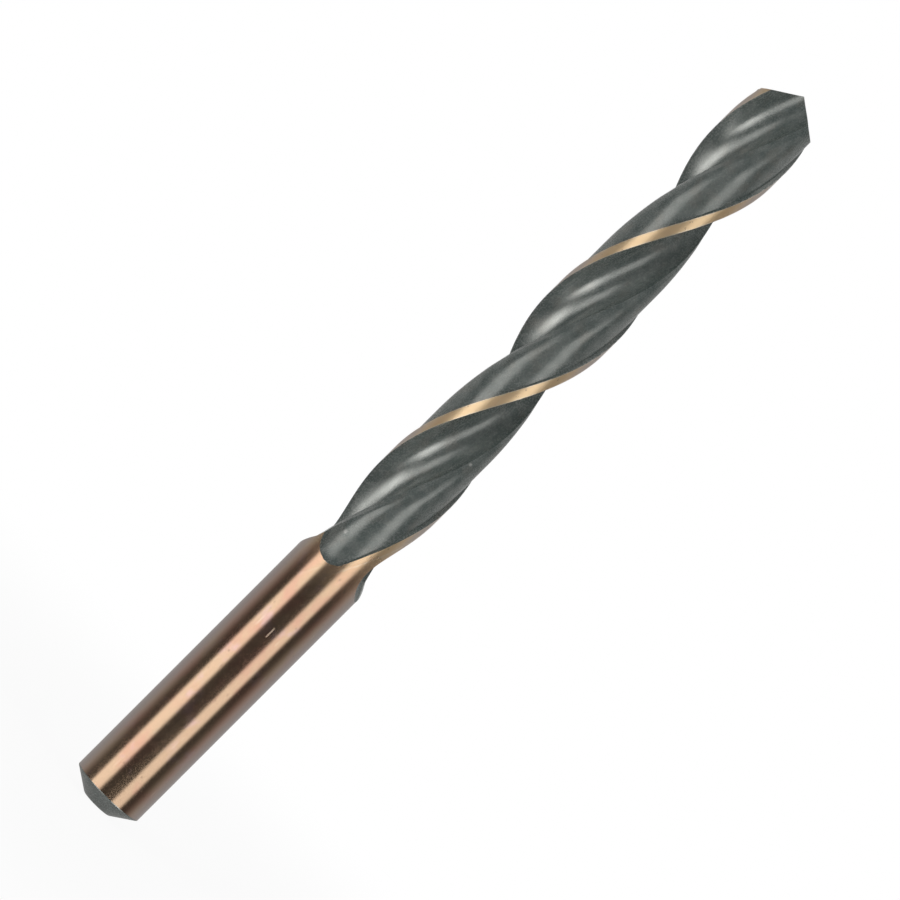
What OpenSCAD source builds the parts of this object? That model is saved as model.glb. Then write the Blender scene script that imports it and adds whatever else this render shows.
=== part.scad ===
// Twist drill bit, right hand helix, straight shank.
// It stands on its shank end: the axis is Z, the end face lies at z = 0 and the chisel edge
// of the point is at the top. One ground piece, so one node.

/* [Main sizes] */

// Cutting diameter, measured across the lip corners of the point (mm)
drill_diameter = 12.5; // [6:0.1:20]

// Length from the shank end to the chisel edge (mm)
overall_length = 151; // [120:1:220]

// Length of the fluted part, run-out included, seen from the point (mm)
flute_length = 102; // [60:1:105]

// Angle of the helix at the full diameter (degrees)
helix_angle = 28.8; // [20:0.1:36]

// How much smaller the shank and the start of the flutes are across than the point (mm)
back_taper = 0.04; // [0.02:0.01:0.1]

/* [Section of the fluted part] */

// Thickness of the web between the two flutes (mm)
web_thickness = 2.12; // [1.4:0.01:3]

// Radius of the round bottom of a flute (mm)
flute_bottom_radius = 3.55; // [3:0.05:3.7]

// Direction of the middle of the round flute bottom, from the lip edge (degrees)
flute_direction = 42.5; // [38:0.5:48]

// Direction at which the round flute bottom ends at the heel, from the lip edge (degrees)
heel_direction = 87; // [84:0.5:92]

// Direction at which the heel wall would meet the full diameter (degrees)
heel_opening = 108; // [102:0.5:112]

// Width of the ground margin behind the lip edge, measured round the drill (mm)
margin_width = 1.67; // [0.9:0.01:2.6]

// Depth of the body clearance behind the margin (mm)
clearance_depth = 0.59; // [0.3:0.01:0.75]

// How much lower the land is at its heel than behind the margin (mm)
heel_drop = 0.6; // [0.4:0.05:1]

// Angle behind the lip edge where the land begins to fall to the heel (degrees)
heel_drop_start = 58; // [50:1:70]

/* [Run-out at the shank] */

// Length in which the lip edge of a flute goes about two thirds of its way round (mm)
lip_runout = 3.2; // [2:0.1:5]

// Length over which the heel edge of a flute leaves the shank (mm)
heel_runout = 3.2; // [2:0.1:6]

// Length over which the flute reaches its full depth (mm)
depth_runout = 13; // [10:0.1:20]

// Direction in which the run-out of a flute ends, from the lip edge (degrees)
runout_direction = 76; // [70:1:82]

// Distance from the end of the flutes to the end of the body clearance (mm)
clearance_lag = 1.6; // [1:0.1:4]

// Length over which the body clearance reaches its full depth (mm)
clearance_runout = 6; // [4:0.1:12]

/* [Point] */

// Included angle of the point (degrees)
point_angle = 118; // [100:1:140]

// Relief angle of a flank behind its lip (degrees)
point_relief = 14; // [6:0.5:16]

// Half angle of the cone that a flank is a part of (degrees)
flank_cone_angle = 58; // [45:1:65]

// Distance from the drill axis to the tip of the cone that a flank is a part of (mm)
flank_cone_distance = 9; // [8:0.25:19]

/* [Shank end] */

// Width of the end chamfer, measured across the end face (mm)
end_chamfer_width = 3.55; // [1:0.05:3.8]

// Height of the end chamfer along the shank (mm)
end_chamfer_height = 2.45; // [0.5:0.05:5]

/* [Hidden] */

bronze = [0.66, 0.50, 0.34];
oxide = [0.30, 0.33, 0.32];

radius = drill_diameter / 2;
shank_radius = radius - back_taper / 2;
lead = PI * drill_diameter / tan(helix_angle);
turn_rate = 360 / lead;

// On a thin drill these sizes stay within a share of the diameter, so that steel is left
web_half = min(web_thickness, 0.25 * drill_diameter) / 2;
flute_radius = min(flute_bottom_radius, 0.29 * drill_diameter);
margin_span = min(margin_width / radius * 180 / PI, 30);
clearance = min(clearance_depth, 0.06 * drill_diameter);
heel_fall_full = min(heel_drop, 0.08 * drill_diameter);
chamfer = min(end_chamfer_width, 0.45 * drill_diameter);
flank_distance = max(flank_cone_distance, 0.55 * drill_diameter);

flute_end = overall_length - flute_length;
cone_drop = radius / tan(point_angle / 2);

// Sides of the round bar and of a flank cone
bar_sides = 96;
cone_sides = 180;

// Length of plain shank below the end of the flutes that already belongs to the tapered body
taper_lead = 1;

// How far the cutters reach past the top of the bar and past its side
above = 2;
outside = 1.38 * radius;

// Angle between two slices of a cutter, and steps round the flute bottom and over the land
slice_turn = 9;
bottom_steps = 15;
land_steps = 7;

// The clearance begins as a tongue with a round nose. These are the directions of its tip and
// of its edge at the margin, the length of the nose, and the lengths over which the margin,
// the land and the fall to the heel reach their full size.
tongue_direction = -20;
tongue_margin = -8;
tongue_nose = 0.9;
margin_growth = 11;
land_growth = 9;
heel_growth = 18;

// Directions are counted from the lip edge. The clearance cutter runs on past the heel.
heel_overrun = 36;
land_last = heel_opening - 180 - heel_overrun;

// The lip edge comes round along this power of the distance, inside a decaying exponential
lip_runout_power = 0.85;

// The land falls to its full drop at this angle past its start, along a power curve
heel_fall_span = 30;
heel_fall_power = 2.1;

// How far a flute cutter's straight parts run on past the bar (mm), how far a cutter's outer
// corners stand apart from its edges (degrees), its side wall at the margin (degrees, and at
// most this share of the land), and its lift over the bar at its first slice (mm)
overhang = 1.2;
flute_corner = [12, 8];
land_corner = [4, 6];
land_wall = 1.6;
land_wall_share = 1 / 8;
first_lift = 0.05;
first_slice = 0.1;

function at(r, a) = [r * cos(a), r * sin(a)];
function angle_of(p) = atan2(p[1], p[0]);
function clamp01(t) = min(1, max(0, t));
function rise(t) = sqrt(clamp01(t));
function round_in(t) = sqrt(1 - pow(1 - clamp01(t), 2));

// Turn of the section at height z. The lip corners at the point lie at the angle of the web.
function turn_at(z) = turn_rate * (z - overall_length + cone_drop) + asin(web_half / radius);

// Flute section at full depth. A straight face runs from the lip edge into a round bottom
// that touches the web, and a short heel wall leads out again.
bottom_centre = at(web_half + flute_radius, flute_direction);
lip_edge = at(radius, 0);
heel_edge = at(radius, heel_opening);
lip_reach = norm(lip_edge - bottom_centre);
face_end = angle_of(lip_edge - bottom_centre) - acos(flute_radius / lip_reach);
heel_along = bottom_centre * at(1, heel_direction);
heel_far = heel_along + sqrt(pow(heel_along, 2) - bottom_centre * bottom_centre + pow(flute_radius, 2));
heel_corner = at(heel_far, heel_direction);
bottom_end = angle_of(heel_corner - bottom_centre) - 360;
flute_bottom = [for (i = [0:bottom_steps])
    bottom_centre + at(flute_radius, face_end + (bottom_end - face_end) * i / bottom_steps)];

// The same round bottom measured along and across the chord of the flute mouth
chord = heel_edge - lip_edge;
chord_length = norm(chord);
chord_dir = chord / chord_length;
chord_out = [chord_dir[1], -chord_dir[0]];
bottom_along = [for (p = flute_bottom) (p - lip_edge) * chord_dir / chord_length];
bottom_out = [for (p = flute_bottom) (p - lip_edge) * chord_out];

// Section of a flute at a distance s from its end at the shank
function mouth_lip(s) = runout_direction * exp(-pow(s / lip_runout, lip_runout_power));
function mouth_heel(s) = runout_direction + (heel_opening - runout_direction) * rise(s / heel_runout);
function flute_depth(s) = 1 - pow(1 - clamp01(s / depth_runout), 2);
function past(tip, foot) = tip + (tip - foot) / norm(tip - foot) * overhang;
function flute_points(s, lift) =
    let (low = mouth_lip(s), high = mouth_heel(s), mid = (low + high) / 2)
    let (a = at(radius + lift, low), b = at(radius + lift, high))
    let (c = b - a, d = c / norm(c), n = [d[1], -d[0]], f = flute_depth(s))
    let (spread = high - low + flute_corner[0] + flute_corner[1])
    let (bottom = [for (i = [0:bottom_steps]) a + c * bottom_along[i] + n * bottom_out[i] * f])
    concat(
        [past(a, bottom[0])], bottom, [past(b, bottom[bottom_steps])],
        [at(outside, high + flute_corner[0]), at(outside, mid + spread / 6),
         at(outside, mid - spread / 6), at(outside, low - flute_corner[1])]);

// Section of the body clearance at a distance s from its end at the shank
function land_front(s) =
    s < tongue_nose ? tongue_direction + (tongue_margin - tongue_direction) * rise(s / tongue_nose)
        : tongue_margin - (margin_span + tongue_margin) * clamp01((s - tongue_nose) / margin_growth);
function land_back(s) = tongue_direction + (land_last - tongue_direction) * rise(s / land_growth);
function heel_fall(a, s) = heel_fall_full * clamp01(s / heel_growth)
    * pow(max(0, -a - heel_drop_start) / heel_fall_span, heel_fall_power);
function land_radius(a, s) =
    radius - clearance * round_in(s / clearance_runout) - heel_fall(a, s);
function land_points(s, lift) =
    let (front = land_front(s), back = land_back(s))
    let (wall = min(land_wall, (front - back) * land_wall_share))
    concat(
        [for (i = [land_steps:-1:0])
            let (a = front - wall + (back - front + wall) * i / land_steps)
            at(land_radius(a, s) + lift, a)],
        [at(radius + clearance, front + wall)],
        [at(outside, front + land_corner[0]), at(outside, (back + 2 * front) / 3),
         at(outside, (2 * back + front) / 3), at(outside, back - land_corner[1])]);

// Heights of the slices: close together in the run-out, then one per turn step
function slice_list(start, fine) = concat(fine,
    let (from = fine[len(fine) - 1], to = overall_length + above - start)
    let (count = ceil((to - from) * turn_rate / slice_turn))
    [for (i = [1:count]) from + (to - from) * i / count]);

// Closed skin over a stack of rings of n points each. The last four points of a ring lie
// outside the bar, and the end faces are zipped between them and the cutting profile.
module skin(rings, n) {
    count = len(rings);
    last = (count - 1) * n;
    inner = n - 4;
    points = [for (ring = rings) each ring];
    sides = [for (j = [0:count - 2]) for (i = [0:n - 1])
        let (a = j * n + i, b = j * n + (i + 1) % n)
        each [[a, b, a + n], [b, b + n, a + n]]];
    mate = [for (i = [0:inner - 2]) round((i + 0.5) / (inner - 1) * 3)];
    fan = concat(
        [for (i = [0:inner - 2]) [i, i + 1, n - 1 - mate[i]]],
        [for (i = [1:inner - 2]) if (mate[i] > mate[i - 1]) [n - 1 - mate[i], n - 1 - mate[i - 1], i]]);
    polyhedron(points = points, faces = concat(
        sides,
        [for (f = fan) [f[2], f[1], f[0]]],
        [for (f = fan) [last + f[0], last + f[1], last + f[2]]]), convexity = 12);
}

function place(p, z, t) =
    [p[0] * cos(t) - p[1] * sin(t), p[0] * sin(t) + p[1] * cos(t), z];

// Cutter of one flute
module flute_cutter() {
    fine = [0, 0.3, 0.8, 1.5, 2.4, 3.4, 4.6, 6, 7.5, 9];
    s_list = slice_list(flute_end, fine);
    rings = [for (s = s_list)
        let (z = flute_end + s)
        let (p_list = flute_points(max(s, first_slice), s < first_slice ? first_lift : 0))
        [for (p = p_list) place(p, z, turn_at(z))]];
    color(oxide) skin(rings, len(rings[0]));
}

// Cutter of the body clearance behind one margin
module land_cutter() {
    fine = [0, 0.25, 0.6, 0.9, 1.6, 2.6, 4, 5.5, 7.2, 9];
    start = flute_end + clearance_lag;
    s_list = slice_list(start, fine);
    rings = [for (s = s_list)
        let (z = start + s)
        let (p_list = land_points(max(s, first_slice), s < first_slice ? first_lift : 0))
        [for (p = p_list) place(p, z, turn_at(z))]];
    color(oxide) skin(rings, len(rings[0]));
}

// Ground bar: the end chamfer, the plain shank, and the body, which is full size at the lip
// corners and tapers back to the shank so that the margins don't bind in the hole
taper_start = flute_end - taper_lead;
bar_top = overall_length + above / 2;
top_radius = shank_radius
    + (radius - shank_radius) * (bar_top - taper_start) / (overall_length - cone_drop - taper_start);
module blank() {
    color(oxide)
        cylinder(h = end_chamfer_height, r1 = shank_radius - chamfer, r2 = shank_radius, $fn = bar_sides);
    color(bronze) translate([0, 0, end_chamfer_height])
        cylinder(h = taper_start - end_chamfer_height, r = shank_radius, $fn = bar_sides);
    color(bronze) translate([0, 0, taper_start])
        cylinder(h = bar_top - taper_start, r1 = shank_radius, r2 = top_radius, $fn = bar_sides);
}

// Solid under one conical flank. Its generator along the lip makes half the point angle with
// the drill axis, and the cone is tipped about that line so that the flank falls behind the lip.
half_point = point_angle / 2;
lip_dir = [sin(half_point), 0, -cos(half_point)];
in_dir = [-cos(half_point), 0, -sin(half_point)];
flank_axis = lip_dir * cos(flank_cone_angle)
    + (in_dir * cos(point_relief) + [0, sin(point_relief), 0]) * sin(flank_cone_angle);
flank_reach = flank_distance / sin(half_point);
// Height of the flank cone surface over the drill axis when its lip line passes z = 0 there
tip_rel = [0, -web_half, 0] + lip_dir * flank_reach;
qa = pow(flank_axis[2], 2) - pow(cos(flank_cone_angle), 2);
dot0 = tip_rel * flank_axis;
qb = 2 * (dot0 * flank_axis[2] - tip_rel[2] * pow(cos(flank_cone_angle), 2));
qc = pow(dot0, 2) - tip_rel * tip_rel * pow(cos(flank_cone_angle), 2);
root_a = (-qb + sqrt(qb * qb - 4 * qa * qc)) / (2 * qa);
root_b = (-qb - sqrt(qb * qb - 4 * qa * qc)) / (2 * qa);
centre_height = abs(root_a) < abs(root_b) ? root_a : root_b;

// Length of the flank cone: more than the whole bar, so that its base lies clear of it
cone_length = 1.4 * overall_length;

module flank_body() {
    tip = [0, web_half, overall_length - centre_height] - lip_dir * flank_reach;
    tilt = acos(flank_axis[2]);
    spin = atan2(flank_axis[1], flank_axis[0]);
    color(oxide) translate(tip) rotate([0, tilt, spin])
        cylinder(h = cone_length, r1 = 0, r2 = cone_length * tan(flank_cone_angle), $fn = cone_sides);
}

// The bar with both flanks of the point ground on it
module pointed_bar() {
    intersection() {
        blank();
        flank_body();
        rotate([0, 0, 180]) flank_body();
    }
}

// Each cut is taken by itself, as on the machine: both clearances, then both flutes
module twist_drill_bit() {
    difference() {
        difference() {
            difference() {
                difference() {
                    pointed_bar();
                    land_cutter();
                }
                rotate([0, 0, 180]) land_cutter();
            }
            flute_cutter();
        }
        rotate([0, 0, 180]) flute_cutter();
    }
}

twist_drill_bit();
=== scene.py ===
# %% [markdown]
# # A twist drill bit, ground out of one bar
# This lesson rebuilds a 12.5 mm twist drill as it is made: a round steel bar is turned, the
# clearances and the flutes are ground out of it on a helix, and the point is ground last.
# A drill could also be modelled by twisting a flat outline. That gives a good middle, but no
# run-out at the shank and no real point, so here the cutters are modelled, and they cut.

# %% Load the measured frame
import math

import bpy
from mathutils import Matrix, Vector


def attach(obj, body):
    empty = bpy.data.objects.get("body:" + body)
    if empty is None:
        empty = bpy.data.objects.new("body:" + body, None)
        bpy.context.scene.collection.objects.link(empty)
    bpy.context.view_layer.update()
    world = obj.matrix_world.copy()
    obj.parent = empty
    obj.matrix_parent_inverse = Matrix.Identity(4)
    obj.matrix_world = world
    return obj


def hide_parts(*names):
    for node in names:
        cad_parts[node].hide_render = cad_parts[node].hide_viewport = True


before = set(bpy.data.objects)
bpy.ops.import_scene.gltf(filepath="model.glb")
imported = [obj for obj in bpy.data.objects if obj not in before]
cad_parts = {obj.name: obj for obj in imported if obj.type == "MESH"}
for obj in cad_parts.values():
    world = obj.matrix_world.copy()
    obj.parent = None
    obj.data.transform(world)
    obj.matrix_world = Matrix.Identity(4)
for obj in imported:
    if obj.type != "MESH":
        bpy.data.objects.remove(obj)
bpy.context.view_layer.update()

# %% [markdown]
# ## The sizes
# Every length is in millimetres and every angle in degrees, as on the drawing. Directions in
# the section are counted from the lip edge, against the clock when seen from the point.

# %% Name the sizes of the drill
SIZES = {
    "Diameter": 12.5,
    "Back taper": 0.04,
    "Overall length": 151.0,
    "Flute length": 102.0,
    "Helix angle": 28.8,
    "Web thickness": 2.12,
    "Bottom radius": 3.55,
    "Bottom direction": 42.5,
    "Heel direction": 87.0,
    "Heel opening": 108.0,
    "Margin width": 1.67,
    "Clearance depth": 0.59,
    "Heel drop": 0.6,
    "Heel drop start": 58.0,
    "Lip run-out": 3.2,
    "Heel run-out": 3.2,
    "Depth run-out": 13.0,
    "Run-out direction": 76.0,
    "Clearance lag": 1.6,
    "Clearance run-out": 6.0,
    "Point angle": 118.0,
    "Point relief": 14.0,
    "Flank cone angle": 58.0,
    "Flank cone distance": 9.0,
    "Chamfer width": 3.55,
    "Chamfer height": 2.45,
}
print(len(SIZES), "sizes named")

# %% [markdown]
# ## Formulas as nodes
# The shapes follow formulas, and Geometry Nodes can work formulas out, but a long formula is
# tiring to build one Math node at a time. A small class helps: a Wire stands for a value in
# a node tree, and each sum or product of wires adds the Math node that makes it.

# %% Write formulas that build their own nodes
class Wire:
    """A value in a node tree. Arithmetic on it adds the Math node that works it out."""

    def __init__(self, socket):
        self.socket = socket
        self.tree = socket.id_data


def add_node(tree, kind, inputs=(), **settings):
    """Adds a node, sets its options and fills its inputs, which go by name or number."""
    node = tree.nodes.new(kind)
    column, row = divmod(len(tree.nodes), 8)
    node.location = (200 * column, -220 * row)
    for name, value in settings.items():
        setattr(node, name, value)
    for key, value in dict(inputs).items():
        if isinstance(value, Wire):
            tree.links.new(value.socket, node.inputs[key])
        else:
            node.inputs[key].default_value = value
    return node


def maths(operation, *values):
    tree = next(value.tree for value in values if isinstance(value, Wire))
    node = add_node(tree, "ShaderNodeMath", enumerate(values), operation=operation)
    return Wire(node.outputs[0])


def operator(operation, turned_round=False):
    def method(self, other):
        return maths(operation, *((other, self) if turned_round else (self, other)))
    return method


SIGNS = {"add": "ADD", "sub": "SUBTRACT", "mul": "MULTIPLY", "truediv": "DIVIDE", "pow": "POWER"}
for word, operation in SIGNS.items():
    setattr(Wire, f"__{word}__", operator(operation))
    setattr(Wire, f"__r{word}__", operator(operation, turned_round=True))


def clamp01(t):
    return maths("MINIMUM", maths("MAXIMUM", t, 0.0), 1.0)


def rise(t):
    """From 0 to 1 with a steep start, as an edge leaves the surface of the bar."""
    return maths("SQRT", clamp01(t))


def at(r, angle):
    """The point at distance r from the axis in a direction, as x and y. The angle is in degrees."""
    turned = maths("RADIANS", angle)
    return r * maths("COSINE", turned), r * maths("SINE", turned)


def angle_of(x, y):
    return maths("DEGREES", maths("ARCTAN2", y, x))


print("formula helpers ready")


# %% [markdown]
# ## Trees with named inputs
# Each tree asks for its sizes by name. A tree that is used inside another takes the sizes of
# the same names from it, so one list of sizes reaches them all.

# %% Make node trees that ask for sizes by name
def new_tree(name, size_names, extra=()):
    """A tree with one input for each named size. Returns it and the wires of its inputs."""
    tree = bpy.data.node_groups.new(name, "GeometryNodeTree")
    for size in size_names:
        socket = tree.interface.new_socket(size, in_out="INPUT", socket_type="NodeSocketFloat")
        socket.default_value = SIZES[size]
    for word, socket_type in extra:
        tree.interface.new_socket(word, in_out="INPUT", socket_type=socket_type)
    tree.interface.new_socket("Geometry", in_out="OUTPUT", socket_type="NodeSocketGeometry")
    source = add_node(tree, "NodeGroupInput")
    wires = {socket.name: Wire(socket) for socket in source.outputs if socket.name}
    return tree, wires


def geometry(tree, kind, inputs=(), output=0, **settings):
    """Adds a node and returns the wire of one of its outputs."""
    return Wire(add_node(tree, kind, inputs, **settings).outputs[output])


def use_tree(outer, inner, wires):
    """Puts one tree inside another and feeds it the sizes of the same names."""
    node = add_node(outer, "GeometryNodeGroup", node_tree=inner)
    for socket in node.inputs:
        if socket.name in wires:
            outer.links.new(wires[socket.name].socket, socket)
    return Wire(node.outputs[0])


def finish_tree(tree, result):
    add_node(tree, "NodeGroupOutput", {0: result})
    print(f"{tree.name}: {len(tree.nodes)} nodes")
    return tree


def turn_per_mm(size):
    """Degrees of turn for each millimetre of height: one turn for each lead of the helix."""
    return 360 * maths("TANGENT", maths("RADIANS", size["Helix angle"])) / (math.pi * size["Diameter"])


def cone_drop(size):
    """How far the lip corners lie below the tip of the point."""
    return size["Diameter"] / 2 / maths("TANGENT", maths("RADIANS", size["Point angle"] / 2))


def turn_at(size, z):
    """The turn of the section at a height. The lips of the point run along X."""
    web_angle = maths("DEGREES", maths("ARCSINE", size["Web thickness"] / size["Diameter"]))
    corner_height = size["Overall length"] - cone_drop(size)
    return turn_per_mm(size) * (z - corner_height) + web_angle


HELIX = ["Diameter", "Overall length", "Flute length", "Helix angle", "Web thickness", "Point angle"]
print(len(HELIX), "sizes set the helix")

# %% [markdown]
# ## A cutter is a stack of rings
# A flute is the path of a grinding wheel. Its cutter here is a tube of rings, one above the
# other, each turned a little further. The Cylinder node makes such a tube with numbered
# points, so the number of a point tells its ring and its place in the ring, and formulas
# give its position. A Grid would do too, but a tube is closed, and only closed shapes cut.
# The rings lie close together where the cut leaves the shank, and evenly after that.

# %% Prepare the stack of rings
FIRST_RINGS = 56   # rings over the run-out, close together at its start
RUN_OUT = 13.0     # the length that they cover, in millimetres
OUTSIDE = 1.38     # where the outer points of a ring lie, in drill radii
OUTER_POINTS = 4   # how many of them there are
PAST_TIP = 2       # how far a cutter runs on past the tip, in millimetres


def ring_stack(tree, ring_points, top):
    """A tube of rings. Returns it, the place in the ring, and the distance from the start."""
    first = float(FIRST_RINGS)
    slices = maths("CEIL", first + (top / RUN_OUT - 1) * (first / 2))
    tube = add_node(tree, "GeometryNodeMeshCylinder", {
        "Vertices": ring_points, "Side Segments": slices}, fill_type="NGON")
    number = geometry(tree, "GeometryNodeInputIndex")
    place = maths("FLOORED_MODULO", number, float(ring_points))
    ring = slices - maths("FLOOR", (number + 0.5) / float(ring_points))
    t = ring / first
    t_start = maths("MINIMUM", t, 1.0)
    distance = RUN_OUT * (t_start * t_start + 2 * maths("MAXIMUM", t - 1, 0.0))
    return Wire(tube.outputs["Mesh"]), place, distance


def mix(a, b, share):
    return a + (b - a) * share


def put_rings(tree, tube, x, y, z, turn):
    """Turns each point about the axis, lifts it to its height, and makes the faces look out."""
    angle = maths("RADIANS", turn)
    c, s = maths("COSINE", angle), maths("SINE", angle)
    position = geometry(tree, "ShaderNodeCombineXYZ", {"X": x * c - y * s, "Y": x * s + y * c, "Z": z})
    placed = geometry(tree, "GeometryNodeSetPosition", {"Geometry": tube, "Position": position})
    return geometry(tree, "GeometryNodeFlipFaces", {"Mesh": placed})


print(FIRST_RINGS, "rings over the first", RUN_OUT, "mm of a cutter")

# %% [markdown]
# ## The flute cutter
# In section, a flute has a straight face behind the lip, a round bottom that touches the web,
# and a short hooked wall at the heel. The ring follows these three one after another: each
# has a share that goes from 0 to 1 along it. At the shank the mouth narrows and turns, and
# the section is measured from the chord of its mouth, so that it can rise out of the steel.

# %% Build the flute cutter
FACE_STEPS, BOTTOM_STEPS, WALL_STEPS = 8, 40, 5
FLUTE_POINTS = FACE_STEPS + BOTTOM_STEPS + WALL_STEPS + 1
OVERHANG = 1.2      # how far the face and the wall run on past the bar, in millimetres
LIP_POWER = 0.85    # the lip edge comes round along this power of the distance
FIRST_CUT = 0.02    # the first ring has the section of this distance, in millimetres
FIRST_LIFT = 0.06   # how far the first ring floats over the bar, in millimetres
LIFT_END = 0.05     # from this distance on, no ring floats
BESIDE = (8, 12)    # how far the outer corners stand beside the mouth, in degrees


def build_flute_cutter():
    tree, size = new_tree("Flute cutter", HELIX + [
        "Bottom radius", "Bottom direction", "Heel direction", "Heel opening",
        "Lip run-out", "Heel run-out", "Depth run-out", "Run-out direction"])
    radius = size["Diameter"] / 2
    tube, place, s = ring_stack(tree, FLUTE_POINTS + OUTER_POINTS, size["Flute length"] + PAST_TIP)

    # the three stretches of the full section
    round_r = size["Bottom radius"]
    cx, cy = at(size["Web thickness"] / 2 + round_r, size["Bottom direction"])
    to_lip = maths("SQRT", (radius - cx) * (radius - cx) + cy * cy)
    start = angle_of(radius - cx, 0 - cy) - maths("DEGREES", maths("ARCCOSINE", round_r / to_lip))
    hx, hy = at(1.0, size["Heel direction"])
    along = cx * hx + cy * hy
    reach = along + maths("SQRT", along * along - cx * cx - cy * cy + round_r * round_r)
    corner = reach * hx, reach * hy
    end = angle_of(corner[0] - cx, corner[1] - cy) - 360
    face = at(round_r, start)
    face = cx + face[0], cy + face[1]
    heel = at(radius, size["Heel opening"])

    # the mouth at this ring, and the depth that the flute has there
    s_cut = maths("MAXIMUM", s, FIRST_CUT)
    lift = FIRST_LIFT * clamp01(1 - s / LIFT_END)
    low = size["Run-out direction"] / maths("EXPONENT", (s_cut / size["Lip run-out"]) ** LIP_POWER)
    high = mix(size["Run-out direction"], size["Heel opening"], rise(s_cut / size["Heel run-out"]))
    left = 1 - clamp01(s_cut / size["Depth run-out"])
    depth = 1 - left * left
    ax, ay = at(radius + lift, low)
    bx, by = at(radius + lift, high)
    mx, my = bx - ax, by - ay
    mouth = maths("SQRT", mx * mx + my * my)

    # a point is measured along and across the chord of the full mouth
    dx, dy = heel[0] - radius, heel[1]
    chord = maths("SQRT", dx * dx + dy * dy)

    def along_across(px, py):
        return (px * dx + py * dy) / (chord * chord), (px * dy - py * dx) / chord * depth

    def run_on(tip, foot):
        ex, ey = tip[0] - foot[0], tip[1] - foot[1]
        along, across = along_across(ex, ey)
        more = OVERHANG / maths("SQRT", along * along * mouth * mouth + across * across)
        return tip[0] + ex * more, tip[1] + ey * more

    first, last = run_on((radius, radius * 0), face), run_on(heel, corner)
    t1 = clamp01(place / FACE_STEPS)
    t2 = clamp01((place - FACE_STEPS) / BOTTOM_STEPS)
    t3 = clamp01((place - FACE_STEPS - BOTTOM_STEPS) / WALL_STEPS)
    bottom = at(round_r, mix(start, end, t2))
    px = mix(first[0], face[0], t1) + (cx + bottom[0] - face[0]) + (last[0] - corner[0]) * t3
    py = mix(first[1], face[1], t1) + (cy + bottom[1] - face[1]) + (last[1] - corner[1]) * t3

    # the same place in the mouth of this ring
    along, across = along_across(px - radius, py)
    x = ax + mx * along + my / mouth * across
    y = ay + my * along - mx / mouth * across

    # the last points of a ring lie outside the bar
    share = clamp01((place - FLUTE_POINTS) / (OUTER_POINTS - 1))
    ox, oy = at(OUTSIDE * radius, mix(high + BESIDE[1], low - BESIDE[0], share))
    outer = maths("GREATER_THAN", place, FLUTE_POINTS - 0.5)
    z = size["Overall length"] - size["Flute length"] + s
    result = put_rings(tree, tube, mix(x, ox, outer), mix(y, oy, outer), z, turn_at(size, z))
    return finish_tree(tree, result)


flute_cutter = build_flute_cutter()

# %% [markdown]
# ## The clearance cutter
# Only two narrow margins of a drill touch the hole. Behind each the steel is ground lower,
# with a step at the margin and a land that falls off to the heel. At the shank the ground
# land begins as a tongue with a round nose. It is made as the flute cutter is, with a section
# that is simply an arc of growing width and depth.

# %% Build the clearance cutter
LAND_STEPS = 22
# the direction of the tongue's nose, the front of the tongue, and the length of the nose
TONGUE_DIRECTION, TONGUE_MARGIN, TONGUE_NOSE = -20.0, -8.0, 0.9
# over these lengths the margin, the land and the fall to the heel reach their full size
MARGIN_GROWTH, LAND_GROWTH, HEEL_GROWTH = 11.0, 9.0, 18.0
HEEL_OVERRUN = 36.0                  # how far the cutter runs on past the heel, in degrees
HEEL_FALL_SPAN, HEEL_FALL_POWER = 30.0, 2.1
STEP_WALL, WALL_PART = 1.6, 8        # the step's wall in degrees, at most an eighth of the land
# as FIRST_CUT, FIRST_LIFT, LIFT_END and BESIDE for the flute
LAND_CUT, LAND_LIFT, LAND_LIFT_END, LAND_BESIDE = 0.08, 0.05, 0.1, (6, 4)


def build_clearance_cutter():
    tree, size = new_tree("Clearance cutter", HELIX + [
        "Margin width", "Clearance depth", "Clearance lag", "Clearance run-out",
        "Heel drop", "Heel drop start", "Heel opening"])
    radius = size["Diameter"] / 2
    top = size["Flute length"] - size["Clearance lag"] + PAST_TIP
    tube, place, s = ring_stack(tree, LAND_STEPS + 2 + OUTER_POINTS, top)
    s_cut = maths("MAXIMUM", s, LAND_CUT)
    margin = maths("DEGREES", size["Margin width"] / radius)
    front = (TONGUE_DIRECTION + (TONGUE_MARGIN - TONGUE_DIRECTION) * rise(s_cut / TONGUE_NOSE)
             - (margin + TONGUE_MARGIN) * clamp01((s_cut - TONGUE_NOSE) / MARGIN_GROWTH))
    last = size["Heel opening"] - 180 - HEEL_OVERRUN
    back = mix(TONGUE_DIRECTION, last, rise(s_cut / LAND_GROWTH))
    wall = maths("MINIMUM", (front - back) / WALL_PART, STEP_WALL)

    direction = mix(back, front - wall, clamp01(place / LAND_STEPS))
    left = 1 - clamp01(s_cut / size["Clearance run-out"])
    sink = size["Clearance depth"] * maths("SQRT", 1 - left * left)
    past = maths("MAXIMUM", 0 - direction - size["Heel drop start"], 0.0) / HEEL_FALL_SPAN
    fall = size["Heel drop"] * clamp01(s_cut / HEEL_GROWTH) * past ** HEEL_FALL_POWER
    lift = LAND_LIFT * clamp01(1 - s / LAND_LIFT_END)
    rim = maths("GREATER_THAN", place, LAND_STEPS + 0.5)
    r = mix(radius - sink - fall + lift, radius + size["Clearance depth"], rim)
    x, y = at(r, mix(direction, front + wall, rim))

    share = clamp01((place - LAND_STEPS - 2) / (OUTER_POINTS - 1))
    ox, oy = at(OUTSIDE * radius, mix(front + LAND_BESIDE[1], back - LAND_BESIDE[0], share))
    outer = maths("GREATER_THAN", place, LAND_STEPS + 1.5)
    z = size["Overall length"] - size["Flute length"] + size["Clearance lag"] + s
    result = put_rings(tree, tube, mix(x, ox, outer), mix(y, oy, outer), z, turn_at(size, z))
    return finish_tree(tree, result)


clearance_cutter = build_clearance_cutter()

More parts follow.
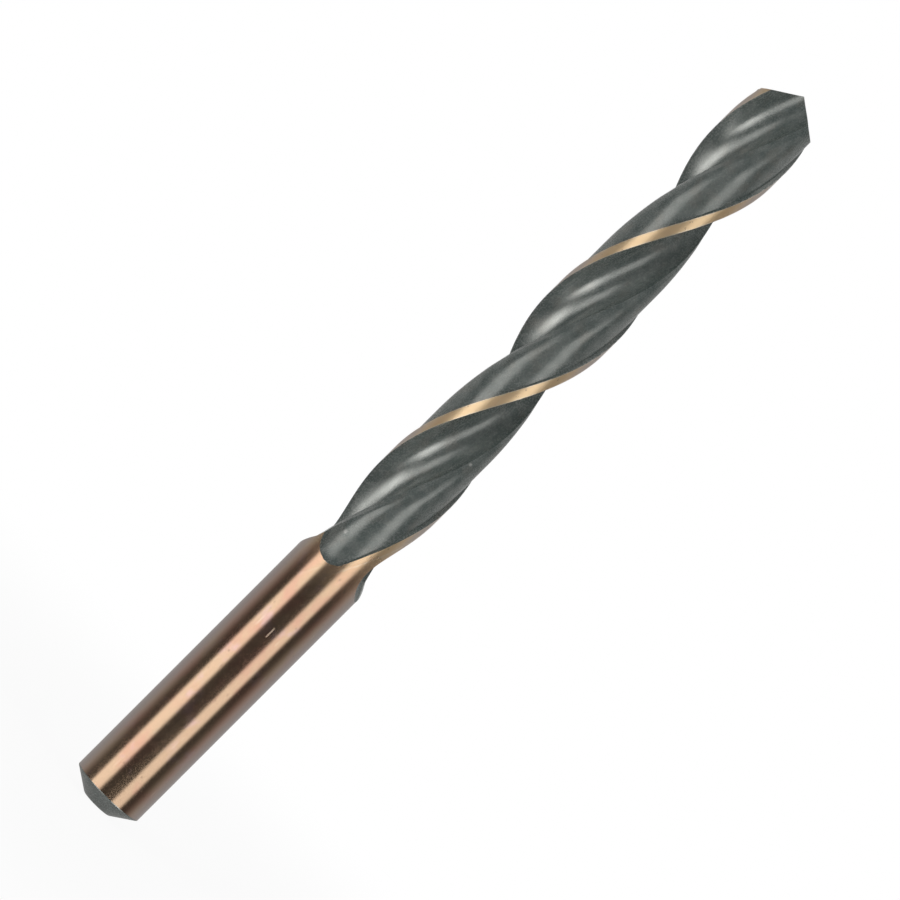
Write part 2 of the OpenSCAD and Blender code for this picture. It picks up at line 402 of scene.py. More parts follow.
# %% [markdown]
# ## The turned bar
# The bar is a solid of revolution: a flat end, a chamfer, the plain shank, and a body that
# grows by a hair up to the point so that the drill doesn't bind. A Cylinder node gives its
# rings, and an Index Switch looks up the radius and the height of each ring. The two edges
# of the chamfer are broken with small rounds, which catch the light as real ones do.

# %% Build the bar
BAR_SIDES = 288
EDGE = 0.14      # radius of the broken edges, in millimetres
TAPER_LEAD = 1   # how far below the flutes the taper begins, in millimetres
BAR_SPARE = 1    # how far the bar runs on past the tip, in millimetres


def build_bar():
    tree, size = new_tree("Turned bar", HELIX + ["Back taper", "Chamfer width", "Chamfer height"])
    radius = size["Diameter"] / 2
    shank = radius - size["Back taper"] / 2
    inner = shank - size["Chamfer width"]
    rise_z = size["Chamfer height"]
    slope = maths("SQRT", rise_z * rise_z + size["Chamfer width"] * size["Chamfer width"])
    run_x, run_z = size["Chamfer width"] / slope, rise_z / slope
    flute_end = size["Overall length"] - size["Flute length"]
    taper_start = flute_end - TAPER_LEAD
    top = size["Overall length"] + BAR_SPARE
    corner = size["Overall length"] - cone_drop(size)
    top_radius = mix(shank, radius, (top - taper_start) / (corner - taper_start))
    rings = [
        (inner - EDGE, 0.0),
        (inner - 0.1 * EDGE, 0.13 * EDGE),
        (inner + EDGE * run_x, EDGE * run_z),
        (shank - EDGE * run_x, rise_z - EDGE * run_z),
        (shank - 0.17 * EDGE, rise_z + 0.2 * EDGE),
        (shank, rise_z + EDGE),
        (shank, taper_start),
        (top_radius, top),
    ]
    count = len(rings)
    tube = add_node(tree, "GeometryNodeMeshCylinder", {
        "Vertices": BAR_SIDES, "Side Segments": count - 1}, fill_type="NGON")
    number = geometry(tree, "GeometryNodeInputIndex")
    ring = count - 1 - maths("FLOOR", (number + 0.5) / BAR_SIDES)
    looked_up = []
    for values in zip(*rings):
        switch = add_node(tree, "GeometryNodeIndexSwitch", data_type="FLOAT")
        while len(switch.index_switch_items) < count:
            switch.index_switch_items.new()
        tree.links.new(ring.socket, switch.inputs["Index"])
        for item, value in enumerate(values):
            if isinstance(value, Wire):
                tree.links.new(value.socket, switch.inputs[item + 1])
            else:
                switch.inputs[item + 1].default_value = value
        looked_up.append(Wire(switch.outputs[0]))
    turn = number * (360 / BAR_SIDES)
    x, y = at(looked_up[0], turn)
    position = geometry(tree, "ShaderNodeCombineXYZ", {"X": x, "Y": y, "Z": looked_up[1]})
    result = geometry(tree, "GeometryNodeSetPosition", {
        "Geometry": Wire(tube.outputs["Mesh"]), "Position": position})
    return finish_tree(tree, result)


turned_bar = build_bar()

# %% [markdown]
# ## The flank of the point
# Each half of the point is a piece of a cone whose tip lies far beside the drill. The cone
# touches the lip along one line, and it is tipped about that line so that the steel behind
# the lip falls away. What lies inside both cones stays.

# %% Build the flank cone
FLANK_SIDES = 720
CONE_LENGTH = 1.4  # in lengths of the drill, so that the cone reaches past the shank


def build_flank():
    tree, size = new_tree("Flank cone", [
        "Diameter", "Overall length", "Web thickness", "Point angle", "Point relief",
        "Flank cone angle", "Flank cone distance"])

    def sin_cos(angle):
        turned = maths("RADIANS", angle)
        return maths("SINE", turned), maths("COSINE", turned)

    sin_p, cos_p = sin_cos(size["Point angle"] / 2)
    sin_r, cos_r = sin_cos(size["Point relief"])
    sin_k, cos_k = sin_cos(size["Flank cone angle"])
    lip = (sin_p, sin_p * 0, 0 - cos_p)
    inward = (0 - cos_p * cos_r, sin_r, 0 - sin_p * cos_r)
    axis = [a * cos_k + b * sin_k for a, b in zip(lip, inward)]
    reach = size["Flank cone distance"] / sin_p
    tip = [a * reach for a in lip]
    tip[1] = tip[1] - size["Web thickness"] / 2

    # where the cone cuts the axis of the drill: the root of a quadratic nearest to zero
    def dot(p, q):
        return p[0] * q[0] + p[1] * q[1] + p[2] * q[2]

    k2 = cos_k * cos_k
    toward = dot(tip, axis)
    qa = axis[2] * axis[2] - k2
    qb = 2 * (toward * axis[2] - tip[2] * k2)
    qc = toward * toward - dot(tip, tip) * k2
    root = maths("SQRT", qb * qb - 4 * qa * qc)
    one, two = (root - qb) / (2 * qa), (0 - root - qb) / (2 * qa)
    nearer = maths("LESS_THAN", maths("ABSOLUTE", one), maths("ABSOLUTE", two))
    height = mix(two, one, nearer)

    length = size["Overall length"] * CONE_LENGTH
    wide = length * maths("TANGENT", maths("RADIANS", size["Flank cone angle"]))
    cone = geometry(tree, "GeometryNodeMeshCone", {
        "Vertices": FLANK_SIDES, "Side Segments": 1, "Radius Top": 0.0, "Radius Bottom": wide,
        "Depth": length}, fill_type="NGON")
    # the node's cone stands on its base: turn it to stand on its tip, then lean it along the axis
    hung = geometry(tree, "GeometryNodeTransform", {"Geometry": cone, "Rotation": (math.pi, 0.0, 0.0)})
    lift = geometry(tree, "ShaderNodeCombineXYZ", {"Z": length})
    hung = geometry(tree, "GeometryNodeTransform", {"Geometry": hung, "Translation": lift})
    tilt = maths("ARCCOSINE", axis[2])
    spin = maths("ARCTAN2", axis[1], axis[0])
    turn = geometry(tree, "ShaderNodeCombineXYZ", {"Y": tilt, "Z": spin})
    move = geometry(tree, "ShaderNodeCombineXYZ", {
        "X": 0 - tip[0], "Y": 0 - tip[1], "Z": size["Overall length"] - height - tip[2]})
    result = geometry(tree, "GeometryNodeTransform", {
        "Geometry": hung, "Translation": move, "Rotation": turn})
    return finish_tree(tree, result)


flank_cone = build_flank()

# %% [markdown]
# ## Where a finish is
# The bar and its margins are bronze coloured, from a thin oxide over bright ground steel.
# What the wheels cut is a satin dark grey. Real finishes change from place to place, so the
# materials first ask where they are: how high on the drill, how far from its axis, and in
# which direction. Untwisted, a place keeps its values all along the helix, and marks that
# follow the flutes come out of that.

# %% Ask a material where it is on the drill
def new_material(name):
    material = bpy.data.materials.new(name)
    material.use_nodes = True
    tree = material.node_tree
    tree.nodes.clear()
    shader = tree.nodes.new("ShaderNodeBsdfPrincipled")
    output = tree.nodes.new("ShaderNodeOutputMaterial")
    tree.links.new(shader.outputs[0], output.inputs[0])
    return material, tree, shader


TURN_RATE = 360 * math.tan(math.radians(SIZES["Helix angle"])) / (math.pi * SIZES["Diameter"])
HALF_POINT = math.radians(SIZES["Point angle"] / 2)
LIP_CORNER = SIZES["Overall length"] - SIZES["Diameter"] / 2 / math.tan(HALF_POINT)
LIP_TURN = math.degrees(math.asin(SIZES["Web thickness"] / SIZES["Diameter"]))
FLUTE_MIDDLE = 54.0  # a direction inside the flute, from the lip edge


def find_place(tree):
    """Where the surface is, in millimetres and degrees."""
    source = add_node(tree, "ShaderNodeTexCoord")
    split = add_node(tree, "ShaderNodeSeparateXYZ", {0: Wire(source.outputs["Object"])})
    x, y, z = (Wire(socket) * 1000 for socket in split.outputs)
    radius = maths("SQRT", x * x + y * y)
    azimuth = angle_of(x, y)
    turned = azimuth - (z - LIP_CORNER) * TURN_RATE - LIP_TURN
    flat_x, flat_y = at(radius, turned)
    # two flutes, so directions repeat after half a turn. The jump lies in the flute bottom
    from_lip = maths("WRAP", turned, FLUTE_MIDDLE, FLUTE_MIDDLE - 180)
    return {"x": x, "y": y, "z": z, "radius": radius, "azimuth": azimuth,
            "flat_x": flat_x, "flat_y": flat_y, "from_lip": from_lip}


def grain(tree, x, y, z, across, along, seed, detail=3.0):
    """Smooth random values, in cells this many millimetres across and along."""
    cell = geometry(tree, "ShaderNodeCombineXYZ", {0: x / across + seed, 1: y / across, 2: z / along})
    return geometry(tree, "ShaderNodeTexNoise", {"Vector": cell, "Scale": 1.0, "Detail": detail})


def soft_step(tree, value, low, high):
    """0 below low, 1 above high, and smooth between them."""
    inputs = {"Value": value, "From Min": low, "From Max": high}
    return geometry(tree, "ShaderNodeMapRange", inputs, interpolation_type="SMOOTHSTEP")


def blend(tree, share, first, second):
    return geometry(tree, "ShaderNodeMix", {0: share, 6: first, 7: second}, output=2, data_type="RGBA")


def spot(tree, place, point, reach):
    """1 at a point of the surface, in millimetres, and 0 farther from it than reach."""
    apart = [place[axis] - value for axis, value in zip("xyz", point)]
    distance = maths("SQRT", apart[0] * apart[0] + apart[1] * apart[1] + apart[2] * apart[2])
    return 1 - soft_step(tree, distance, 0.3 * reach, reach)


def bump(tree, shader, height, depth):
    """Raises the surface by up to depth millimetres."""
    node = add_node(tree, "ShaderNodeBump", {"Height": height, "Distance": depth / 1000, "Strength": 1.0})
    tree.links.new(node.outputs[0], shader.inputs["Normal"])


print("turn rate:", round(TURN_RATE, 3), "degrees per mm")

# %% [markdown]
# ## The bronze oxide
# Ground steel that is heated in air grows a bronze film. Its colour wanders between olive
# brown and red brown, with faint pink clouds, and at a glancing angle it has a painted greyish sheen.
# The bar was ground between two wheels, which leaves fine marks that run round it. Handling
# leaves a few scratches, and the edges of the margins are rubbed bright.

# %% Make the bronze oxide
OLIVE_BRONZE = (0.60, 0.415, 0.275, 1)
RED_BRONZE = (0.61, 0.355, 0.25, 1)
PINK_FILM = (0.66, 0.45, 0.43, 1)
# a painted sheen: the greyish colour given to the surface where it is seen at a glancing angle
GLANCING_SHEEN = (0.50, 0.44, 0.42, 1)
GOLD_FILM = (0.92, 0.68, 0.40, 1)
RUBBED_STEEL = (0.86, 0.74, 0.58, 1)
STAIN = (0.30, 0.20, 0.13, 1)
# the random values between which each kind of patch fades in
CLOUDS, PINK_CLOUDS, SPOTS, FINE_LINES = (0.38, 0.62), (0.56, 0.72), (0.71, 0.76), (0.80, 0.86)
GLANCING = (0.22, 0.60)      # the painted sheen turns the colour greyish between these slants
BODY_HEIGHTS = (44.0, 62.0)  # between these the shank's film turns into that of the margins
RUBBED, RAGGEDNESS = (0.3, 1.8), 5  # the rubbed edge fades out, and wanders, in degrees
SCRATCH_HEIGHT, SCRATCH_AZIMUTH = 37.2, 56.4
SCRATCH_HALF_WIDTH, SCRATCH_HALF_LENGTH = (0.5, 1.3), (0.7, 1.15)  # degrees and millimetres


def make_bronze():
    material, tree, shader = new_material("bronze_oxide")
    place = find_place(tree)
    x, y, z = place["x"], place["y"], place["z"]

    # the colours of the film
    clouds = grain(tree, x, y, z, across=3.6, along=7.0, seed=4.0)
    color = blend(tree, soft_step(tree, clouds, *CLOUDS), OLIVE_BRONZE, RED_BRONZE)
    faint = grain(tree, x, y, z, across=2.6, along=4.5, seed=31.0, detail=4.0)
    color = blend(tree, soft_step(tree, faint, *PINK_CLOUDS) * 0.55, color, PINK_FILM)
    on_body = soft_step(tree, z, *BODY_HEIGHTS)
    color = blend(tree, on_body * 0.85, color, GOLD_FILM)
    dots = grain(tree, x, y, z, across=0.55, along=0.8, seed=57.0, detail=1.0)
    color = blend(tree, soft_step(tree, dots, *SPOTS) * 0.5, color, STAIN)
    # a painted sheen: the colour turns greyish where the surface is seen at a glancing angle
    facing = add_node(tree, "ShaderNodeLayerWeight", {"Blend": 0.5})
    glancing = soft_step(tree, Wire(facing.outputs["Facing"]), *GLANCING)
    color = blend(tree, glancing * 0.8, color, GLANCING_SHEEN)

    # wear: the two edges of a margin, and scratches along the bar
    margin = -math.degrees(SIZES["Margin width"] / (SIZES["Diameter"] / 2))
    ragged = grain(tree, x, y, z, across=0.4, along=0.9, seed=12.0)
    to_lip = maths("ABSOLUTE", place["from_lip"])
    to_back = maths("ABSOLUTE", place["from_lip"] - margin)
    to_edge = maths("MINIMUM", to_lip, to_back) + (ragged - 0.5) * RAGGEDNESS
    rubbed = (1 - soft_step(tree, to_edge, *RUBBED)) * on_body
    across = maths("ABSOLUTE", place["azimuth"] - SCRATCH_AZIMUTH)
    up_down = maths("ABSOLUTE", z - SCRATCH_HEIGHT)
    scratch = ((1 - soft_step(tree, across, *SCRATCH_HALF_WIDTH))
               * (1 - soft_step(tree, up_down, *SCRATCH_HALF_LENGTH)))
    lines = grain(tree, x, y, z, across=0.16, along=3.0, seed=83.0, detail=0.0)
    fine = soft_step(tree, lines, *FINE_LINES)
    worn = maths("MAXIMUM", maths("MAXIMUM", rubbed * 0.7, scratch * 0.4), fine * 0.5)
    color = blend(tree, worn, color, RUBBED_STEEL)
    tree.links.new(color.socket, shader.inputs["Base Color"])

    # gloss and the marks of grinding, which run round the bar
    rings = grain(tree, x, y, z, across=6.0, along=0.16, seed=7.0, detail=2.0)
    patches = grain(tree, x, y, z, across=1.2, along=2.0, seed=20.0)
    roughness = 0.12 + patches * 0.05 + rings * 0.03 + fine * 0.03 + scratch * 0.25 + on_body * 0.15
    tree.links.new(roughness.socket, shader.inputs["Roughness"])
    bump(tree, shader, rings * 0.7 + patches * 0.3, depth=0.003)
    metallic = 1 - on_body * 0.26 - scratch * 0.3
    tree.links.new(metallic.socket, shader.inputs["Metallic"])
    shader.inputs["Coat Weight"].default_value = 0.25
    shader.inputs["Coat Roughness"].default_value = 0.2
    print("bronze oxide:", len(tree.nodes), "nodes")
    return material


bronze = make_bronze()

# %% [markdown]
# ## The grey oxide
# Steam leaves a dark grey oxide on what was cut. It is satin, a little uneven and slightly
# green, with fine streaks along the helix where the wheel passed. On the chamfer at the shank
# end the marks are turned, so they run round. The cutting edges have lost a little oxide.

# %% Make the grey oxide
DARK_OXIDE = (0.090, 0.113, 0.108, 1)
LIGHT_OXIDE = (0.146, 0.166, 0.158, 1)
WARM_OXIDE = (0.162, 0.152, 0.132, 1)
BARE_EDGE = (0.42, 0.42, 0.40, 1)
MOTTLE, WARM_CLOUDS, BARE_PATCHES = (0.30, 0.70), (0.50, 0.70), (0.42, 0.60)
BARE_BAND = (0.22, 0.08)     # how far inside the drill's radius bare steel fades in
BARE_HEIGHTS = (60.0, 70.0)  # and between which heights
CHAMFER_FADE = 0.1
HEEL_NICK, NICK_REACH = (-1.08, 4.84, 76.1), 0.35
LAND_DING, DING_REACH = (5.0, 2.64, 55.8), 0.45


def make_oxide():
    material, tree, shader = new_material("grey_oxide")
    place = find_place(tree)
    x, y, z = place["x"], place["y"], place["z"]
    flat_x, flat_y = place["flat_x"], place["flat_y"]

    # the colours of the oxide
    mottle = grain(tree, x, y, z, across=1.3, along=1.9, seed=3.0, detail=1.5)
    fine = grain(tree, x, y, z, across=0.32, along=0.32, seed=90.0, detail=2.0)
    uneven = mottle * 0.88 + fine * 0.12
    color = blend(tree, soft_step(tree, uneven, *MOTTLE), DARK_OXIDE, LIGHT_OXIDE)
    warm = grain(tree, x, y, z, across=2.4, along=4.0, seed=41.0)
    color = blend(tree, soft_step(tree, warm, *WARM_CLOUDS) * 0.35, color, WARM_OXIDE)

    # bare steel along the lip edges and the heels
    ragged = grain(tree, x, y, z, across=0.3, along=0.7, seed=14.0)
    radius = SIZES["Diameter"] / 2
    outer = soft_step(tree, place["radius"], *(radius - inside for inside in BARE_BAND))
    bare = outer * soft_step(tree, ragged, *BARE_PATCHES)
    bare = bare * soft_step(tree, z, *BARE_HEIGHTS)
    nicks = spot(tree, place, HEEL_NICK, NICK_REACH) + spot(tree, place, LAND_DING, DING_REACH)
    color = blend(tree, maths("MAXIMUM", bare * 0.7, nicks * 0.8), color, BARE_EDGE)
    tree.links.new(color.socket, shader.inputs["Base Color"])

    # the marks of the wheel on the flutes, and of the tool on the chamfer
    streaks = grain(tree, flat_x, flat_y, z, across=0.22, along=14.0, seed=5.0, detail=2.0)
    r, rim = place["radius"], SIZES["Chamfer height"]
    turned = grain(tree, r, r, z, across=0.14, along=0.14, seed=66.0, detail=1.0)
    on_chamfer = 1 - soft_step(tree, z, rim, rim + CHAMFER_FADE)
    marks = mix(streaks, turned, on_chamfer)
    roughness = 0.20 + fine * 0.10 + marks * 0.04
    tree.links.new(roughness.socket, shader.inputs["Roughness"])
    bump(tree, shader, marks * 0.7 + fine * 0.3, depth=0.004)
    shader.inputs["Metallic"].default_value = 0.2
    shader.inputs["IOR"].default_value = 2.2
    shader.inputs["Specular Tint"].default_value = (1.0, 0.97, 0.90, 1)
    shader.inputs["Coat Weight"].default_value = 0.3
    shader.inputs["Coat Roughness"].default_value = 0.3
    print("grey oxide:", len(tree.nodes), "nodes")
    return material


oxide = make_oxide()

# %% [markdown]
# ## Grinding the drill
# The two cutters of a pair are instances on two points, one turned by half a turn. Booleans
# take them from the bar. The flanks come first here and last in a workshop, but what is cut
# away is the same in any order.

# %% Build the whole drill
SKIN_DEPTH, SKIN_FACING = 0.01, 0.9995  # in millimetres, and as a cosine
SHARP_BEND = 28                         # in degrees
MIXED = 0.01                            # an edge of both the skin and the cut is above this


def build_drill():
    tree, size = new_tree("Twist drill", list(SIZES), [
        ("Bar finish", "NodeSocketMaterial"), ("Cut finish", "NodeSocketMaterial")])

    def part(inner):
        shape = use_tree(tree, inner, size)
        return geometry(tree, "GeometryNodeSetMaterial", {"Geometry": shape, "Material": size["Cut finish"]})

    def pair(shape):
        line = geometry(tree, "GeometryNodeMeshLine", {"Count": 2, "Offset": (0.0, 0.0, 0.0)})
        points = geometry(tree, "GeometryNodeMeshToPoints", {"Mesh": line})
        half_turn = geometry(tree, "GeometryNodeInputIndex") * math.pi
        turn = geometry(tree, "ShaderNodeCombineXYZ", {"Z": half_turn})
        both = geometry(tree, "GeometryNodeInstanceOnPoints", {
            "Points": points, "Instance": shape, "Rotation": turn})
        return geometry(tree, "GeometryNodeRealizeInstances", {"Geometry": both})

    def boolean(operation, *shapes):
        node = add_node(tree, "GeometryNodeMeshBoolean", operation=operation, solver="MANIFOLD")
        if operation == "DIFFERENCE":
            tree.links.new(shapes[0].socket, node.inputs["Mesh 1"])
            shapes = shapes[1:]
        for shape in shapes:
            tree.links.new(shape.socket, node.inputs["Mesh 2"])
        return Wire(node.outputs["Mesh"])

    flank = part(flank_cone)
    other = geometry(tree, "GeometryNodeTransform", {"Geometry": flank, "Rotation": (0.0, 0.0, math.pi)})
    drill = boolean("INTERSECT", part(turned_bar), flank, other)
    drill = boolean("DIFFERENCE", drill, pair(part(clearance_cutter)))
    drill = boolean("DIFFERENCE", drill, pair(part(flute_cutter)))

    # what is left of the bar's own skin is as far out as the shank and looks straight out
    place = geometry(tree, "GeometryNodeInputPosition")
    split = add_node(tree, "ShaderNodeSeparateXYZ", {0: place})
    flat = geometry(tree, "ShaderNodeCombineXYZ", {0: Wire(split.outputs[0]), 1: Wire(split.outputs[1])})
    height = Wire(split.outputs[2])
    outward = geometry(tree, "ShaderNodeVectorMath", {0: flat}, operation="NORMALIZE")
    distance = geometry(tree, "ShaderNodeVectorMath", {0: flat}, output=1, operation="LENGTH")
    normal = geometry(tree, "GeometryNodeInputNormal")
    facing = geometry(
        tree, "ShaderNodeVectorMath", {0: normal, 1: outward}, output=1, operation="DOT_PRODUCT")
    shank = (size["Diameter"] - size["Back taper"]) / 2
    skin = (maths("GREATER_THAN", distance, shank - SKIN_DEPTH)
            * maths("GREATER_THAN", facing, SKIN_FACING)
            * maths("GREATER_THAN", height, size["Chamfer height"]))
    drill = geometry(tree, "GeometryNodeStoreNamedAttribute", {
        "Geometry": drill, "Name": "skin", "Value": skin}, data_type="FLOAT", domain="FACE")

    # round faces look round. Sharp edges stay sharp, and so does the rim of the skin, because
    # a point that the skin shared with what was cut beside it would tilt the light on the skin
    on_skin = geometry(tree, "GeometryNodeInputNamedAttribute", {"Name": "skin"}, data_type="FLOAT")
    drill = geometry(tree, "GeometryNodeSetShadeSmooth", {
        "Geometry": drill, "Shade Smooth": True}, domain="FACE")
    bend = geometry(tree, "GeometryNodeInputMeshEdgeAngle")
    bent = maths("GREATER_THAN", bend, math.radians(SHARP_BEND))
    rim = maths("GREATER_THAN", on_skin * (1 - on_skin), MIXED)
    drill = geometry(tree, "GeometryNodeSetShadeSmooth", {
        "Geometry": drill, "Selection": maths("MAXIMUM", bent, rim), "Shade Smooth": False}, domain="EDGE")

    # long thin faces shade unevenly, so the skin gets the normals of a true cylinder
    true_round = geometry(
        tree, "ShaderNodeMix", {0: on_skin, 4: normal, 5: outward}, output=1, data_type="VECTOR")
    drill = geometry(tree, "GeometryNodeSetMeshNormal", {
        "Mesh": drill, "Custom Normal": true_round}, mode="FREE", domain="CORNER")

    metres = geometry(tree, "GeometryNodeTransform", {"Geometry": drill, "Scale": (0.001, 0.001, 0.001)})
    real = geometry(tree, "GeometryNodeRealizeInstances", {"Geometry": metres})
    result = geometry(tree, "GeometryNodeSetMaterial", {
        "Geometry": real, "Selection": on_skin, "Material": size["Bar finish"]})
    return finish_tree(tree, result)


drill_tree = build_drill()

# %% [markdown]
# ## From a modifier to a plain mesh
# The tree works as a modifier, and each of its inputs is set by the identifier of its socket
# before the object is first evaluated. The result is then kept as a plain mesh and the
# modifier goes, so that what rides on the frame is an ordinary piece.

# %% Grind the drill and hand it to the frame
drill = bpy.data.objects.new("drill", bpy.data.meshes.new("drill"))
bpy.context.scene.collection.objects.link(drill)
grind = drill.modifiers.new("Grinding", "NODES")
grind.node_group = drill_tree
for item in drill_tree.interface.items_tree:
    if item.in_out == "INPUT" and item.name in SIZES:
        grind[item.identifier] = SIZES[item.name]
    elif item.in_out == "INPUT":
        grind[item.identifier] = {"Bar finish": bronze, "Cut finish": oxide}[item.name]
depsgraph = bpy.context.evaluated_depsgraph_get()
ground = bpy.data.meshes.new_from_object(drill.evaluated_get(depsgraph))
drill.modifiers.remove(grind)
drill.data = ground
finishes = [material.name for material in ground.materials]
print("drill:", len(ground.vertices), "points,", len(ground.polygons), "faces,", finishes)
columns = list(zip(*(point.co for point in ground.vertices)))
box = [[round(1000 * farthest(column), 3) for column in columns] for farthest in (min, max)]
print("box in mm:", box)

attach(drill, "root")
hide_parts("twist_drill_bit")

# %% [markdown]
# ## The camera
# The camera is level and square to the drill, and rolled by an eighth of a turn, so that the
# drill stands in the frame and leans in the picture.

# %% Place the camera
PICTURE = 900                # the picture's side in pixels
CAMERA_AZIMUTH = 53.5        # where the camera stands round the drill, from X towards Y
CAMERA_DISTANCE = 544.0      # in millimetres, as is the next
AIM_HEIGHT = 75.5
PIXELS_PER_MM = 6.616        # at the axis of the drill
SENSOR = 36.0


def direction(azimuth):
    """A level direction, counted from the camera's."""
    angle = math.radians(CAMERA_AZIMUTH + azimuth)
    return Vector((math.cos(angle), math.sin(angle), 0))


UP = Vector((0, 0, 1))
toward = direction(0)
side = UP.cross(toward)
camera_data = bpy.data.cameras.new("camera")
camera_data.sensor_width = SENSOR
camera_data.lens = SENSOR * CAMERA_DISTANCE * PIXELS_PER_MM / PICTURE
camera = bpy.data.objects.new("camera", camera_data)
axes = Matrix(((UP + side).normalized(), (UP - side).normalized(), toward)).transposed()
place = (toward * CAMERA_DISTANCE + UP * AIM_HEIGHT) / 1000
camera.matrix_world = Matrix.Translation(place) @ axes.to_4x4()
bpy.context.scene.collection.objects.link(camera)
bpy.context.scene.camera = camera
print("lens:", round(camera_data.lens, 1), "mm")

# %% [markdown]
# ## The studio
# Metal shows what stands round it. Two softboxes stand beside the camera and a third behind,
# and they give plain soft light. What the metal shows is a tent of cloth farther out, with
# windows in the directions of the softboxes. Beside its front windows it is nearly black, and
# behind it is grey. The level windows give the shank its two even stripes. The low ones are
# brighter and lean, and they light the flutes where these look down. The cloth shows only in
# reflections: the camera sees the white floor and surroundings through it.

# %% Lay the floor
scene = bpy.context.scene
scene.view_settings.view_transform = "Standard"


def show_white(tree):
    """1 for what the camera, bright metal or glass sees, and 0 for the light on a surface."""
    path = tree.nodes.new("ShaderNodeLightPath")
    seen = Wire(path.outputs["Is Camera Ray"])
    for ray in ("Is Glossy Ray", "Is Transmission Ray"):
        seen = maths("MAXIMUM", seen, Wire(path.outputs[ray]))
    return seen


def stage_panel(name, points, faces, material):
    mesh = bpy.data.meshes.new(name)
    mesh.from_pydata(points, [], faces)
    mesh.materials.append(material)
    panel = bpy.data.objects.new(name, mesh)
    scene.collection.objects.link(panel)
    return panel


# the floor takes the shadow near the drill, and farther out it is as white as the rest
FLOOR = 3.0  # half its side, in metres
NEAR_WHITE, SHADOW_REACH, WHITE_FROM = 0.93, 0.05, 0.25
floor_material, tree, shader = new_material("pale_floor")
shader.inputs["Base Color"].default_value = (0.9, 0.9, 0.9, 1)
shader.inputs["Roughness"].default_value = 1.0
shader.inputs["Specular IOR Level"].default_value = 0.0
source = add_node(tree, "ShaderNodeTexCoord")
split = add_node(tree, "ShaderNodeSeparateXYZ", {0: Wire(source.outputs["Object"])})
fx, fy = Wire(split.outputs[0]), Wire(split.outputs[1])
far = soft_step(tree, maths("SQRT", fx * fx + fy * fy), SHADOW_REACH, WHITE_FROM)
glow = geometry(tree, "ShaderNodeEmission", {"Color": (1, 1, 1, 1), "Strength": 1.0})
white = mix(NEAR_WHITE, 1.0, far) * show_white(tree)
blended = geometry(tree, "ShaderNodeMixShader", {0: white, 1: Wire(shader.outputs[0]), 2: glow})
output = next(node for node in tree.nodes if node.type == "OUTPUT_MATERIAL")
tree.links.new(blended.socket, output.inputs[0])
square = [(-FLOOR, -FLOOR, 0), (FLOOR, -FLOOR, 0), (FLOOR, FLOOR, 0), (-FLOOR, FLOOR, 0)]
floor = stage_panel("floor", square, [(0, 1, 2, 3)], floor_material)
floor.visible_glossy = False  # the tent goes on below it
print("floor:", 2 * FLOOR, "m wide")

# %% Light the surroundings
WORLD_LIGHT = 0.32
world = bpy.data.worlds.new("studio")
scene.world = world
world.use_nodes = True
sky = world.node_tree
backdrop = next(node for node in sky.nodes if node.type == "BACKGROUND")
backdrop.inputs["Color"].default_value = (1, 1, 1, 1)
strength = WORLD_LIGHT + show_white(sky) * (1 - WORLD_LIGHT)
sky.links.new(strength.socket, backdrop.inputs["Strength"])
print("light from all around:", WORLD_LIGHT)

# %% Place the softboxes
# each softbox: the directions between which it stands, from the camera's, and its radiance
SOFTBOXES = {"left": (-56, -26, 2.2), "right": (29, 56, 2.0), "back": (168, 192, 1.5)}
SOFTBOX_DISTANCE, SOFTBOX_HEIGHT = 0.6, 1.0
for name, (start, end, radiance) in SOFTBOXES.items():
    data = bpy.data.lights.new(name + "_softbox", "AREA")
    data.shape = "RECTANGLE"
    data.size = 2 * SOFTBOX_DISTANCE * math.tan(math.radians(end - start) / 2)
    data.size_y = SOFTBOX_HEIGHT
    data.energy = radiance * math.pi * data.size * data.size_y
    lamp = bpy.data.objects.new(data.name, data)
    out = direction((start + end) / 2)
    axes = Matrix((UP.cross(out), UP, out)).transposed()
    lamp.matrix_world = Matrix.Translation(out * SOFTBOX_DISTANCE + UP * AIM_HEIGHT / 1000) @ axes.to_4x4()
    lamp.visible_camera = False
    lamp.visible_glossy = False
    scene.collection.objects.link(lamp)
print("softboxes:", ", ".join(SOFTBOXES))

# %% Hang the tent
# the tent: its greys, where it turns from black to grey, and its size in metres
DARK_CLOTH, GREY_CLOTH, GREY_BETWEEN = 0.07, 0.42, (72.0, 116.0)
TENT_SIDES, TENT_RADIUS, TENT_FOOT, TENT_TOP = 96, 3.0, -20.0, 5.0
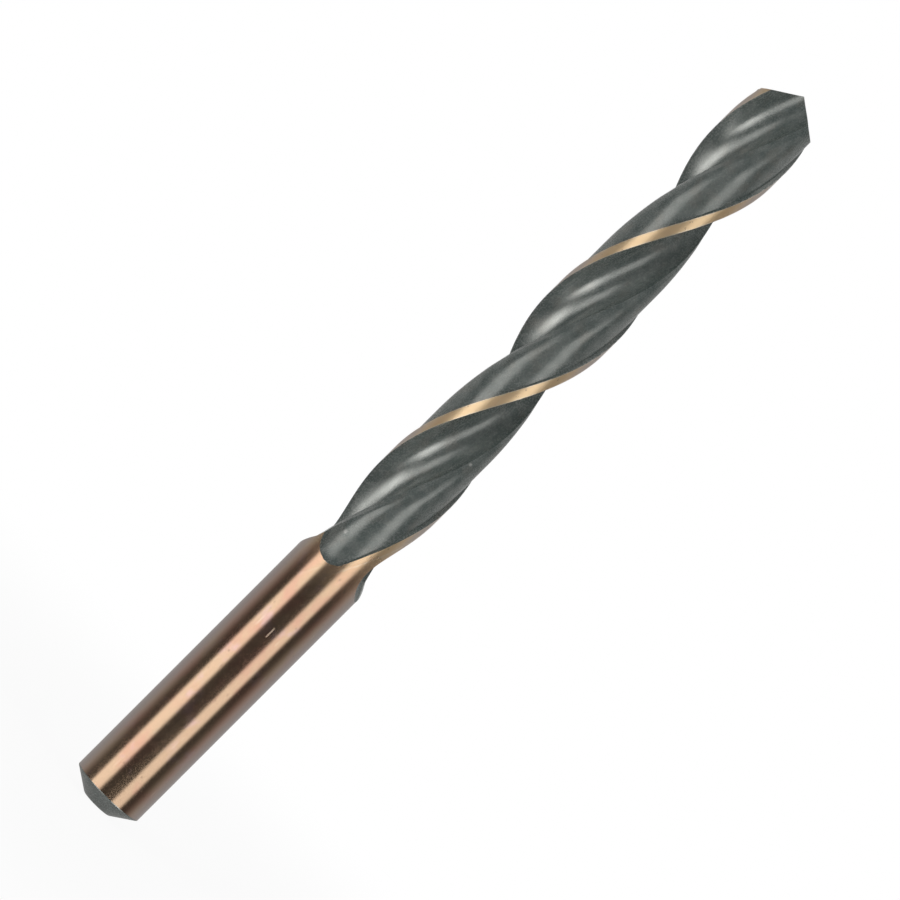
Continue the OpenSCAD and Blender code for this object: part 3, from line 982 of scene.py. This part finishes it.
# its windows: the directions between which each is, its lean in degrees per metre, its foot,
# its top and the length over which both fade in metres, and its radiance
WINDOWS = [
    (-57, -23, 0.0, -0.55, 0.00, 0.2, 1.50),
    (-57, -23, 0.0, 0.00, 0.62, 0.2, 1.60),
    (27, 57, 0.0, -0.55, 0.00, 0.2, 1.32),
    (27, 57, 0.0, 0.00, 0.62, 0.2, 1.50),
    (168, 192, 0.0, -0.50, 1.50, 0.2, 1.30),
    (-57, -17, -42.5, -1.75, -0.80, 0.3, 5.60),
    (22, 58, -42.5, -1.75, -0.85, 0.3, 6.20),
]
SIDE_FADE = 11.0  # the sides of a window fade over this many degrees


def make_cloth():
    """Cloth whose grey depends on the direction in which it hangs, with its windows."""
    material, tree, shader = new_material("tent_cloth")
    source = add_node(tree, "ShaderNodeTexCoord")
    split = add_node(tree, "ShaderNodeSeparateXYZ", {0: Wire(source.outputs["Object"])})
    azimuth = angle_of(Wire(split.outputs[0]), Wire(split.outputs[1]))
    height = Wire(split.outputs[2])
    level = mix(DARK_CLOTH, GREY_CLOTH, soft_step(tree, maths("ABSOLUTE", azimuth), *GREY_BETWEEN))

    def within(value, low, high, fade):
        """1 between low and high and 0 outside, with soft edges."""
        apart = maths("ABSOLUTE", value - (low + high) / 2)
        half = (high - low) / 2
        return 1 - soft_step(tree, apart, half - fade / 2, half + fade / 2)

    for start, end, lean, foot, top, fade, radiance in WINDOWS:
        upright = azimuth - (height - (foot + top) / 2) * lean
        upright = maths("WRAP", upright, start + 270.0, start - 90.0)
        inside = within(upright, start, end, SIDE_FADE) * within(height, foot, top, fade)
        level = mix(level, radiance, inside)
    light = geometry(tree, "ShaderNodeEmission", {"Strength": level})
    output = next(node for node in tree.nodes if node.type == "OUTPUT_MATERIAL")
    tree.links.new(light.socket, output.inputs[0])
    return material


points, faces = [], []
for height in (TENT_FOOT, TENT_TOP):
    for number in range(TENT_SIDES):
        angle = 2 * math.pi * number / TENT_SIDES
        points.append((TENT_RADIUS * math.cos(angle), TENT_RADIUS * math.sin(angle), height))
for this in range(TENT_SIDES):
    after = (this + 1) % TENT_SIDES
    faces.append((this, after, after + TENT_SIDES, this + TENT_SIDES))
tent = stage_panel("tent", points, faces, make_cloth())
tent.rotation_euler.z = math.radians(CAMERA_AZIMUTH)
for ray in ("camera", "diffuse", "shadow"):
    setattr(tent, "visible_" + ray, False)
print("tent:", len(WINDOWS), "windows")
